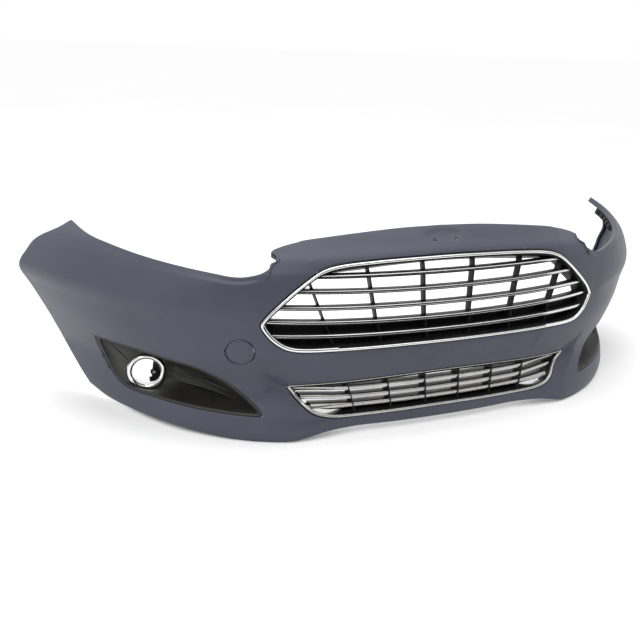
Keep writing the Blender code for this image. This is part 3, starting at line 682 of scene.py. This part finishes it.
def sweep(rings, closed=False):
    """Solid through a list of rings, either endless or capped at both ends."""
    shape = bmesh.new()
    start, end = grow_rings(shape, list(rings) + ([rings[0]] if closed else []))
    if closed:
        seam = list(dict.fromkeys(v for e in start + end for v in e.verts))
        bmesh.ops.remove_doubles(shape, verts=seam, dist=1e-5)
    else:
        bmesh.ops.edgeloop_fill(shape, edges=start)
        bmesh.ops.edgeloop_fill(shape, edges=end)
    bmesh.ops.recalc_face_normals(shape, faces=shape.faces)
    return shape


# %% Strip helpers
def belongs(item, body, slot_name, *nodes):
    """Tie a piece to its body and hide the frame nodes it stands for; slot_name is not used."""
    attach(item, body)
    if nodes:
        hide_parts(*nodes)
    return item


def strip_rings(line, section, closed):
    """Rings of a section of (inset, depth) pairs along a front-view line."""
    side = turned_in(line, closed)
    columns = [on_skin(line + side * inset, depth) for inset, depth in section]
    return np.stack(columns, axis=1)


def add_strip(name, line, section, finish, slot_name, stands_for, closed=False):
    """Strip of one section along a line; it stands for one node of the frame."""
    item = new_object(name, sweep(strip_rings(line, section, closed), closed), finish)
    return belongs(item, "cover", slot_name, stands_for)


# %% [markdown]
# ## Bright trim of the upper grille
# The surround is four plated strips that meet at the grille's two points and at two seams
# below. A plated strip is never square: its face is domed, so it carries one long highlight,
# and its edges are rounded. The joints stay open by less than a millimetre.

# %% Trim helpers
SIDES = ((-1, "left"), (1, "right"))
SEAM_X = 0.258
JOINT = 0.0004
TRIM_WIDTH = 0.0060
CORNER_WIDTH = 0.0082
TRIM_FOOT = 0.0030


def domed(width, height=0.0036, start=0.0028, points=11):
    """Rounded strip section of (inset, depth) pairs, standing proud of the skin."""
    turns = np.linspace(0.0, math.pi, points)
    crown = [(start + width / 2 * (1 - math.cos(t)), -height * math.sin(t)**0.75)
             for t in turns[1:-1]]
    end = start + width
    return [(start, TRIM_FOOT), (start, 0.0004)] + crown + [(end, 0.0004), (end, TRIM_FOOT)]


def stretch(line, keep, count):
    """The part of a closed line where keep(x, z) holds, in order, with even points."""
    inside = np.array([keep(x, z) for x, z in line])
    start = next(i for i in range(len(line)) if inside[i] and not inside[i - 1])
    order = np.roll(np.arange(len(line)), -start)
    return evenly(line[order][inside[order]], count)


# %% Upper trim
upper_dense = evenly(upper_line, 4000, closed=True)
tip_x, tip_z = upper_dense[np.argmax(upper_dense[:, 0])]
arch_line = stretch(upper_dense, lambda x, z: z > tip_z + JOINT, 260)
floor_line = stretch(upper_dense, lambda x, z: z < tip_z and abs(x) < SEAM_X, 110)
add_strip("upper_trim_arch_fine", arch_line, domed(TRIM_WIDTH), chrome, "chrome_trim",
          "upper_trim_arch")
add_strip("upper_trim_centre_fine", floor_line, domed(TRIM_WIDTH), chrome, "chrome_trim",
          "upper_trim_centre")
for side, name in SIDES:
    corner_line = stretch(upper_dense, lambda x, z: z < tip_z and side * x > SEAM_X + JOINT, 80)
    add_strip(f"upper_trim_corner_{name}_fine", corner_line, domed(CORNER_WIDTH), chrome,
              "chrome_trim", f"upper_trim_corner_{name}")
print("trim tip at", round(tip_x, 3), round(tip_z, 3))

# %% [markdown]
# ## Upper grille insert
# Behind the bright surround sits a black insert: a wall that runs back from the opening, five
# cross slats with a bright nose, upright ribs behind them, and a closed panel low down.
# Each part is its own swept strip, so its edges can be rounded without touching the others.

# %% Grille helpers
BAR_STATIONS = 90
RIB_STATIONS = 24
RIB_EDGE = 0.0006


def rounded(points, radius, steps=3):
    """Section with each corner turned into a small arc."""
    points = np.array(points, float)
    result = []
    for before, corner, after in zip(np.roll(points, 1, 0), points, np.roll(points, -1, 0)):
        to_before = (before - corner) / np.linalg.norm(before - corner)
        to_after = (after - corner) / np.linalg.norm(after - corner)
        reach = min(radius, 0.45 * np.linalg.norm(before - corner),
                    0.45 * np.linalg.norm(after - corner))
        for t in np.linspace(0.0, 1.0, steps):
            a = corner + to_before * reach * (1 - t)**2
            result.append(a + to_after * reach * t**2)
    return [tuple(p) for p in result]


def add_bar(name, half, z, section, finish, slot_name, nodes=(), rise=0.0):
    """Bar across the nose; section is (depth, height) pairs, and its ends rise a little."""
    depths, heights = np.array(section).T
    rings = []
    for x in np.linspace(-half, half, BAR_STATIONS):
        level = z + heights + rise * (x / half)**2
        across = np.full(len(section), x)
        rings.append(np.column_stack([across, skin_y(across, level) + depths, level]))
    return belongs(new_object(name, sweep(rings), finish), "cover", slot_name, *nodes)


def add_rib(name, x, lean, z_low, z_high, depths, thick):
    """Upright rib; it follows the nose between two depths."""
    section = rounded([(-thick / 2, depths[0]), (thick / 2, depths[0]),
                       (thick / 2, depths[1]), (-thick / 2, depths[1])], RIB_EDGE)
    rings = []
    for z in np.linspace(z_low, z_high, RIB_STATIONS):
        middle_x = x + lean * (z - z_low)
        base = skin_y(middle_x, z)
        rings.append([(middle_x + dx, base + depth, z) for dx, depth in section])
    return belongs(new_object(name, sweep(rings), black), "cover", "black_plastic")


# %% Upper insert wall
GRILLE_DEPTH = 0.045
WALL_EDGE = 0.0005
even_upper = evenly(upper_line, 320, closed=True)
wall_section = rounded([(0.0001, 0.0012), (0.0024, 0.0012), (0.0027, 0.0032), (0.0082, 0.0032),
                        (0.0092, 0.0000), (0.0114, 0.0000), (0.0118, GRILLE_DEPTH),
                        (0.0092, GRILLE_DEPTH), (0.0078, 0.0060), (0.0001, 0.0060)], WALL_EDGE)
add_strip("upper_insert_wall", even_upper, wall_section, black, "black_plastic",
          "upper_grille_frame", closed=True)
print("upper wall runs", GRILLE_DEPTH, "m back")

# %% Upper slats
UPPER_SLATS = [(0.351, 0.298, 0.002), (0.317, 0.340, 0.006), (0.284, 0.377, 0.006),
               (0.253, 0.402, 0.008), (0.227, 0.392, 0.004)]
slat_body = rounded([(0.0078, -0.0046), (0.0300, -0.0018), (0.0300, 0.0018),
                     (0.0092, 0.0040)], 0.0007)
slat_nose = rounded([(0.0062, -0.0018), (0.0095, -0.0026), (0.0095, 0.0034),
                     (0.0070, 0.0030)], 0.0010)
for number, (z, half, rise) in enumerate(UPPER_SLATS, 1):
    add_bar(f"upper_slat_{number}_fine", half, z, slat_body, black, "black_plastic",
            [f"upper_slat_{number}"], rise)
    add_bar(f"upper_slat_nose_{number}", half, z, slat_nose, chrome, "chrome_trim",
            [f"upper_slat_trim_{number}"], rise)
print(len(UPPER_SLATS), "upper slats")

# %% Upper ribs
UPPER_RIBS = [(0.053, 0.054), (0.1595, 0.187), (0.264, 0.360)]
RIB_FOOT = 0.2085
RIB_ROOM = 0.009
RIB_DEPTHS = (0.0100, 0.0300)
RIB_THICK = 0.0026
upper_top = stretch(upper_dense, lambda x, z: z > 0.30, 200)
for number, (x, lean) in enumerate(UPPER_RIBS, 1):
    high = UPPER_SLATS[0][0]
    for _ in range(4):
        high = float(np.interp(x + lean * (high - RIB_FOOT), *upper_top.T)) - RIB_ROOM
    for side, name in SIDES:
        add_rib(f"upper_rib_{name}_{number}", side * x, side * lean, RIB_FOOT, high,
                RIB_DEPTHS, RIB_THICK)
    print("rib", number, "reaches up to", round(high, 4))

# %% Closed panel
PANEL_STATIONS = 120
PANEL_LEAST = 0.0005


def add_closed_panel(name, floor_points, half, top_z, depths, lift):
    """Closing panel whose lower edge follows the opening."""
    rings = []
    for x in np.linspace(-half, half, PANEL_STATIONS):
        low_z = min(float(np.interp(x, *floor_points.T)) + lift, top_z - PANEL_LEAST)
        corners = ((depths[0], low_z), (depths[0], top_z), (depths[1], top_z), (depths[1], low_z))
        rings.append([(x, skin_y(x, z) + d, z) for d, z in corners])
    return belongs(new_object(name, sweep(rings), black, 30), "cover", "black_plastic")


upper_floor = stretch(upper_dense, lambda x, z: z < tip_z, 300)[::-1]
add_closed_panel("upper_blank_panel", upper_floor, half=0.398, top_z=0.2490,
                 depths=(0.0310, 0.0335), lift=0.0085)
print("upper panel made")

# %% [markdown]
# ## Lower grille insert
# The lower intake has the same black wall, but its three blades are broad, with a satin face on
# a black back. One satin strip runs round its ends and its lower edge, and a narrow one along
# its upper edge. The helpers of the upper grille make all of it again with other sections.

# %% Lower trim and wall
LOWER_DEPTH = 0.038
lower_dense = evenly(lower_line, 3000, closed=True)
end_z = lower_dense[np.argmax(lower_dense[:, 0]), 1]
u_line = stretch(lower_dense, lambda x, z: z < end_z, 240)
brow_line = stretch(lower_dense, lambda x, z: z >= end_z, 160)
add_strip("lower_trim_u_fine", u_line, domed(0.0062, 0.0030), satin, "satin_chrome",
          "lower_trim_u")
add_strip("lower_trim_top_fine", brow_line, domed(0.0020, 0.0014, 0.0020), satin, "satin_chrome",
          "lower_trim_top")
even_lower = evenly(lower_line, 280, closed=True)
lower_wall = rounded([(0.0001, 0.0012), (0.0024, 0.0012), (0.0027, 0.0032), (0.0076, 0.0032),
                      (0.0080, 0.0010), (0.0096, 0.0010), (0.0100, LOWER_DEPTH),
                      (0.0072, LOWER_DEPTH), (0.0060, 0.0060), (0.0001, 0.0060)], WALL_EDGE)
add_strip("lower_insert_wall", even_lower, lower_wall, black, "black_plastic",
          "lower_grille_frame", closed=True)
print("lower wall runs", LOWER_DEPTH, "m back")

# %% Lower blades
LOWER_SLATS = [(0.1035, 0.338), (0.0850, 0.323), (0.0670, 0.304)]
blade_face = rounded([(0.0080, -0.0048), (0.0095, -0.0048), (0.0095, 0.0050),
                      (0.0062, 0.0042), (0.0060, 0.0010)], 0.0012)
blade_body = rounded([(0.0090, -0.0052), (0.0350, -0.0030), (0.0350, 0.0010),
                      (0.0090, 0.0052)], 0.0008)
for number, (z, half) in enumerate(LOWER_SLATS, 1):
    add_bar(f"lower_blade_{number}", half, z, blade_face, satin, "satin_chrome",
            [f"lower_slat_{number}"])
    add_bar(f"lower_blade_back_{number}", half, z, blade_body, black, "black_plastic")
print(len(LOWER_SLATS), "lower blades")

# %% Lower ribs and panel
LOWER_RIBS = [(0.041, 0.03), (0.125, 0.13), (0.209, 0.24)]
LOWER_RIB_ENDS = (0.049, 0.1195)
LOWER_RIB_DEPTHS = (0.0040, LOWER_DEPTH - 0.002)
LOWER_RIB_THICK = 0.0024
for number, (x, lean) in enumerate(LOWER_RIBS, 1):
    for side, name in SIDES:
        add_rib(f"lower_rib_{name}_{number}", side * x, side * lean, *LOWER_RIB_ENDS,
                LOWER_RIB_DEPTHS, LOWER_RIB_THICK)
lower_floor = stretch(lower_dense, lambda x, z: z < end_z, 300)[::-1]
add_closed_panel("lower_blank_panel", lower_floor, half=0.345, top_z=0.0640,
                 depths=(0.0340, 0.0362), lift=0.0060)
print("lower insert made")

# %% [markdown]
# ## Lamp bezels
# Each fog lamp sits in a black funnel. Its rim fills the pointed opening in the shell, and
# from there the wall runs back to a round collar. It is lofted: evenly spaced rings blend from
# the rim's outline to the collar's circle, and each ring sags so that the wall is hollow. Three
# louvre fins step down its inboard half. They are a height that is added to the loft, and a thin
# glossy bead on the crests of the upper two is a lighter black, a painted highlight along them.

# %% Lamp place
FOG_CENTRE = (0.611, 0.0106, 0.092)
FOG_TURN = math.radians(12)
FOG_RADIUS = 0.0415
FOG_HOLE = 0.0310


def fog_frame(side):
    """Centre, outward axis, and the two directions across a lamp."""
    centre = Vector((side * FOG_CENTRE[0], FOG_CENTRE[1], FOG_CENTRE[2]))
    axis = Vector((side * math.sin(FOG_TURN), -math.cos(FOG_TURN), 0.0))
    across = Vector((math.cos(FOG_TURN) * side, math.sin(FOG_TURN), 0.0))
    return centre, axis, across, Vector((0.0, 0.0, 1.0))


print("lamps turned out by", round(math.degrees(FOG_TURN)), "degrees")

# %% Fins
FIN_LINES = [[(0.430, 0.118), (0.560, 0.124)], [(0.430, 0.081), (0.480, 0.090), (0.560, 0.097)],
             [(0.430, 0.066), (0.443, 0.067), (0.510, 0.072), (0.560, 0.077)],
             [(0.420, 0.0525), (0.528, 0.0515), (0.560, 0.052)]]
FIN_RISE = 0.0105


def fins(x, z):
    """Height of the three louvre fins that step down the inboard half of a bezel."""
    side = np.abs(x)
    lines = [np.interp(side, *np.array(line).T) for line in FIN_LINES]
    height = np.zeros_like(side)
    for upper, lower in zip(lines, lines[1:]):
        share = (upper - z) / (upper - lower)
        height += np.where((share > 0) & (share <= 1), share**1.5, 0.0)
    last = ramp(lines[-1] - z, 0.0, 0.004)
    height = np.where(z < lines[-1], 1.0 - last, height)
    return FIN_RISE * height * ease(side, 0.425, 0.475) * (1 - ease(side, 0.548, 0.562))


# %% Bezel funnel
RIM_GAP = 0.0009
RIM_POINTS = 216
RIM = [(RIM_GAP, 0.012), (RIM_GAP, 0.0020), (0.0014, 0.0012), (0.0022, 0.0009), (0.0062, 0.0012),
       (0.0072, 0.0020)]
LOFT_RINGS = 40
EVEN_SHARE = 0.3
HOLLOW = 0.17
COLLAR_GAP = 0.0016
COLLAR_LIP = 0.0015
COLLAR_DEPTH = 0.025
BEZEL_WALL = 0.0018


def bezel_rings(side):
    """Rings of a bezel from behind its rim, over the funnel, to the foot of its collar."""
    centre, axis, across, up = fog_frame(side)
    line = evenly(fog_line, RIM_POINTS, closed=True)
    into = turned_in(line, True)
    into *= math.copysign(1.0, (into * (line.mean(axis=0) - line)).sum())
    turns = np.unwrap(np.arctan2(line[:, 1] - FOG_CENTRE[2], line[:, 0] - FOG_CENTRE[0]))
    whole_turn = np.sign(turns[-1] - turns[0]) * 2 * math.pi
    even = turns[0] + np.linspace(0, whole_turn, RIM_POINTS, endpoint=False)
    turns = (1 - EVEN_SHARE) * turns + EVEN_SHARE * even
    mirror = np.array([side, 1, 1])
    rings = [on_skin(line + into * inset, depth) * mirror for inset, depth in RIM]
    radius = FOG_RADIUS + COLLAR_GAP
    circle = np.array([centre + (across * math.cos(t) + up * math.sin(t)) * radius
                       for t in turns])
    start = rings[-1]
    reach = np.linalg.norm(circle - start, axis=1)[:, None]
    for share in np.linspace(0.04, 1.0, LOFT_RINGS):
        hollow = reach * HOLLOW * math.sin(math.pi * share**0.7)
        ring = start + (circle - start) * share + np.array([0, 1, 0]) * hollow
        ring[:, 1] -= fins(ring[:, 0], ring[:, 2]) * min(share / 0.2, 1.0)
        rings.append(ring)
    back = -np.array(axis)
    return rings + [circle + back * COLLAR_LIP, circle + back * COLLAR_DEPTH]


def add_bezel(side, name, rings):
    """Open funnel through the rings, with a wall behind it."""
    shape = bmesh.new()
    grow_rings(shape, rings)
    if sum(f.normal.y * f.calc_area() for f in shape.faces) > 0:
        bmesh.ops.reverse_faces(shape, faces=shape.faces)
    bezel = new_object(f"bezel_{name}", shape, grained, 45)
    thick = bezel.modifiers.new("wall", "SOLIDIFY")
    thick.thickness = BEZEL_WALL
    thick.offset = -1.0
    belongs(bezel, "cover", "grained_black", f"fog_bezel_{name}")


# %% Fin edges
FIN_SPANS = [(0.462, 0.540), (0.446, 0.542)]
BEAD_DEPTH = 0.0018
BEAD_HEIGHT = 0.0015


def add_fin_edges(side, name, surface):
    """Rounded bead on the crest of each of the upper two fins, on the bezel's own surface."""
    turns = np.linspace(0, 2 * math.pi, 12, endpoint=False)
    for number, (crest, (start, end)) in enumerate(zip(FIN_LINES[1:], FIN_SPANS), 1):
        rings = []
        for x in np.linspace(start, end, 40):
            z = float(np.interp(x, *np.array(crest).T)) + 0.0008
            away = np.hypot(surface[:, 0] * side - x, surface[:, 2] - z)
            y = float(surface[np.argsort(away)[:12], 1].min()) - 0.0002
            thin = min(1.0, 0.15 + 6 * min(x - start, end - x) / (end - start))
            rings.append([(side * x, y + BEAD_DEPTH * thin * math.sin(t),
                           z + BEAD_HEIGHT * thin * math.cos(t)) for t in turns])
        # The bead's lighter colour is a painted highlight along the fin crest.
        item = new_object(f"bezel_fin_{name}_{number}", sweep(rings), painted_fin_highlight, 60)
        belongs(item, "cover", "black_plastic")


for side, name in SIDES:
    rings = bezel_rings(side)
    add_bezel(side, name, rings)
    add_fin_edges(side, name, np.vstack(rings[len(RIM) - 1:-2]))
print("bezels of", len(rings), "rings made")

# %% [markdown]
# ## Lamp rings
# A bright ring closes each funnel round the open lamp hole. It is turned, as a lathe would
# make it: a broad dished face, a rounded outer lip and a thin inner sleeve.

# %% Turned parts
def turned_part(profile, centre, axis, segments):
    """Closed profile of (radius, height) pairs turned about an axis."""
    shape = bmesh.new()
    verts = [shape.verts.new((r, 0.0, h)) for r, h in profile]
    edges = [shape.edges.new(pair) for pair in zip(verts, verts[1:] + verts[:1])]
    bmesh.ops.spin(shape, geom=verts + edges, cent=(0, 0, 0), axis=(0, 0, 1),
                   angle=2 * math.pi, steps=segments, use_merge=True, use_duplicate=False)
    bmesh.ops.remove_doubles(shape, verts=shape.verts, dist=2e-5)
    flat = [f for f in shape.faces if f.calc_area() < 1e-13]
    bmesh.ops.delete(shape, geom=flat, context="FACES")
    place = Matrix.Translation(centre) @ Vector(axis).to_track_quat("Z", "Y").to_matrix().to_4x4()
    bmesh.ops.transform(shape, matrix=place, verts=shape.verts)
    bmesh.ops.recalc_face_normals(shape, faces=shape.faces)
    return shape


# %% Rings
RING = [(FOG_HOLE, -0.012), (FOG_HOLE, 0.0005), (0.0318, 0.0016), (0.0338, 0.0034),
        (0.0362, 0.0044), (0.0388, 0.0046), (0.0406, 0.0036), (FOG_RADIUS, 0.0016),
        (FOG_RADIUS, -0.012), (0.0398, -0.012), (0.0396, 0.0005), (0.0345, 0.0005),
        (0.0325, -0.0010), (0.0322, -0.012)]
for side, name in SIDES:
    centre, axis, _, _ = fog_frame(side)
    ring = new_object(f"lamp_ring_{name}", turned_part(RING, centre, axis, 96), chrome)
    belongs(ring, "cover", "chrome_trim", f"fog_ring_{name}")
print("lamp holes", round(2000 * FOG_HOLE), "mm wide")

# %% [markdown]
# ## Lamp carriers
# Behind the inboard part of each lamp hole a black carrier plate shows, with the boss and the
# small screw that aim the lamp. The plate is a disc cut by planes and then thickened.

# %% Carrier plates
CARRIER_RADIUS = 0.0385
CARRIER_THICK = 0.0022
CARRIER_BACK = -0.016
CARRIER_CUTS = [((-0.013, 0, 0), (1, 0.12, 0)), ((0, 0.032, 0), (0, 1, 0)),
                ((0, -0.028, 0), (0.3, -1, 0))]
BOSS_PLACE = (-0.0165, -0.006)
BOSS = [(0.0, 0.0), (0.0080, 0.0), (0.0078, 0.0036), (0.0070, 0.0042), (0.0, 0.0042)]
AIM_SCREW = [(0.0, 0.0040), (0.0034, 0.0040), (0.0034, 0.0056), (0.0026, 0.0064), (0.0, 0.0064)]


def add_carrier(side, name):
    """Cut disc behind the lamp hole, with its boss and its screw."""
    centre, axis, across, up = fog_frame(side)
    shape = bmesh.new()
    bmesh.ops.create_circle(shape, cap_ends=True, radius=CARRIER_RADIUS, segments=64)
    for spot, normal in CARRIER_CUTS:
        whole = shape.verts[:] + shape.edges[:] + shape.faces[:]
        bmesh.ops.bisect_plane(shape, geom=whole, plane_co=spot, plane_no=normal, clear_outer=True)
    grown = bmesh.ops.extrude_face_region(shape, geom=shape.faces[:])["geom"]
    bmesh.ops.translate(shape, verts=only_verts(grown), vec=(0, 0, CARRIER_THICK))
    place = Matrix((across, up, across.cross(up))).transposed().to_4x4()
    place.translation = centre + axis * CARRIER_BACK
    bmesh.ops.transform(shape, matrix=place, verts=shape.verts)
    bmesh.ops.recalc_face_normals(shape, faces=shape.faces)
    plate = new_object(f"lamp_carrier_{name}", shape, black, 30)
    belongs(plate, "cover", "black_plastic")
    foot = centre + across * BOSS_PLACE[0] + up * BOSS_PLACE[1] + axis * (CARRIER_BACK + 0.001)
    boss = new_object(f"lamp_boss_{name}", turned_part(BOSS, foot, axis, 32), black, 30)
    belongs(boss, "cover", "black_plastic")
    screw = new_object(f"lamp_aim_screw_{name}", turned_part(AIM_SCREW, foot, axis, 24), zinc, 30)
    belongs(screw, "cover", "zinc_steel")


for side, name in SIDES:
    add_carrier(side, name)
print("lamp carriers made")

# %% [markdown]
# ## Tow-eye lid
# The round lid snaps over the towing thread and pulls straight out. Its face follows the
# body, so it is turned as a flat disc and then every point is moved by the body's curve.

# %% Lid
LID = [(0.0, 0.0), (0.010, 0.0), (0.020, 0.0), (0.0278, 0.0), (0.0282, -0.0002),
       (0.0283, -0.0006), (0.0283, -0.0030), (0.0245, -0.0030),
       (0.0240, -0.0110), (0.0225, -0.0110), (0.0218, -0.0030), (0.0, -0.0030)]
lid_axis = -Vector(inward(*TOW_CENTRE))
lid_place = Vector(on_skin([TOW_CENTRE])[0])
lid_shape = turned_part(LID, lid_place, lid_axis, 72)
lid_points = np.array([v.co for v in lid_shape.verts])
flat_y = lid_place.y - ((lid_points[:, 0] - lid_place.x) * lid_axis.x
                        + (lid_points[:, 2] - lid_place.z) * lid_axis.z) / lid_axis.y
curved = skin_y(lid_points[:, 0], lid_points[:, 2]) - flat_y
for vert, move in zip(lid_shape.verts, curved):
    vert.co.y += move
lid = new_object("tow_eye_lid_fine", lid_shape, primer)
belongs(lid, "tow_eye_lid", "primer_grey", "tow_cap")
print("lid curve up to", round(float(np.abs(curved).max()) * 1000, 2), "mm")

# %% [markdown]
# ## Clip rails of the wing tips
# The top of each wing is held to the car's wing panel by a toothed black rail on its inner
# face. It is one swept strip whose inner edge steps in and out from tooth to tooth.

# %% Clip rails
CLIP_LINE = [(0.664, 0.3790), (0.690, 0.3835), (0.712, 0.3885), (0.728, 0.3960)]
TEETH = 5
TOOTH_STATIONS = 8
RAIL_INSETS = (0.0080, 0.0200)
RAIL_FRONT = 0.0035
TOOTH_DEPTH = 0.0300
ROOT_DEPTH = 0.0170


def add_clip_rail(side, name):
    """Toothed strip on the inner face of one wing tip."""
    line = evenly(smooth_line(CLIP_LINE, 10), TEETH * TOOTH_STATIONS + 1)
    into = turned_in(line)
    rings = []
    for k, (spot, push) in enumerate(zip(line, into)):
        tooth = (k % TOOTH_STATIONS) >= TOOTH_STATIONS // 2
        deep = TOOTH_DEPTH if tooth else ROOT_DEPTH
        upper, lower = RAIL_INSETS
        section = [(upper, RAIL_FRONT), (lower, RAIL_FRONT), (lower, deep), (upper, deep)]
        places = on_skin([spot + push * inset for inset, _ in section])
        normals = inward(places[:, 0], places[:, 2])
        depths = np.array([d for _, d in section])[:, None]
        rings.append((places + normals * depths) * np.array([side, 1, 1]))
    rail = new_object(f"clip_rail_{name}", sweep(rings), black, 30)
    return belongs(rail, "cover", "black_plastic")


for side, name in SIDES:
    add_clip_rail(side, name)
print("clip rails with", TEETH, "teeth each")

# %% [markdown]
# ## Brackets and screws
# The brackets and screws are right as the frame has them: flat plates and small
# turned heads. They only take their real finish.

# %% Kept parts
for node_name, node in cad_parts.items():
    if "bracket" in node_name or "screw" in node_name:
        finish = zinc if "screw" in node_name else black
        node.data.materials.clear()
        node.data.materials.append(finish)
        print(node_name, "takes", finish.name)

# %% Sizes
low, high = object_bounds()
print("grown by mm", [round((b - a) * 1000, 1) for a, b in zip(cad_high, high)])
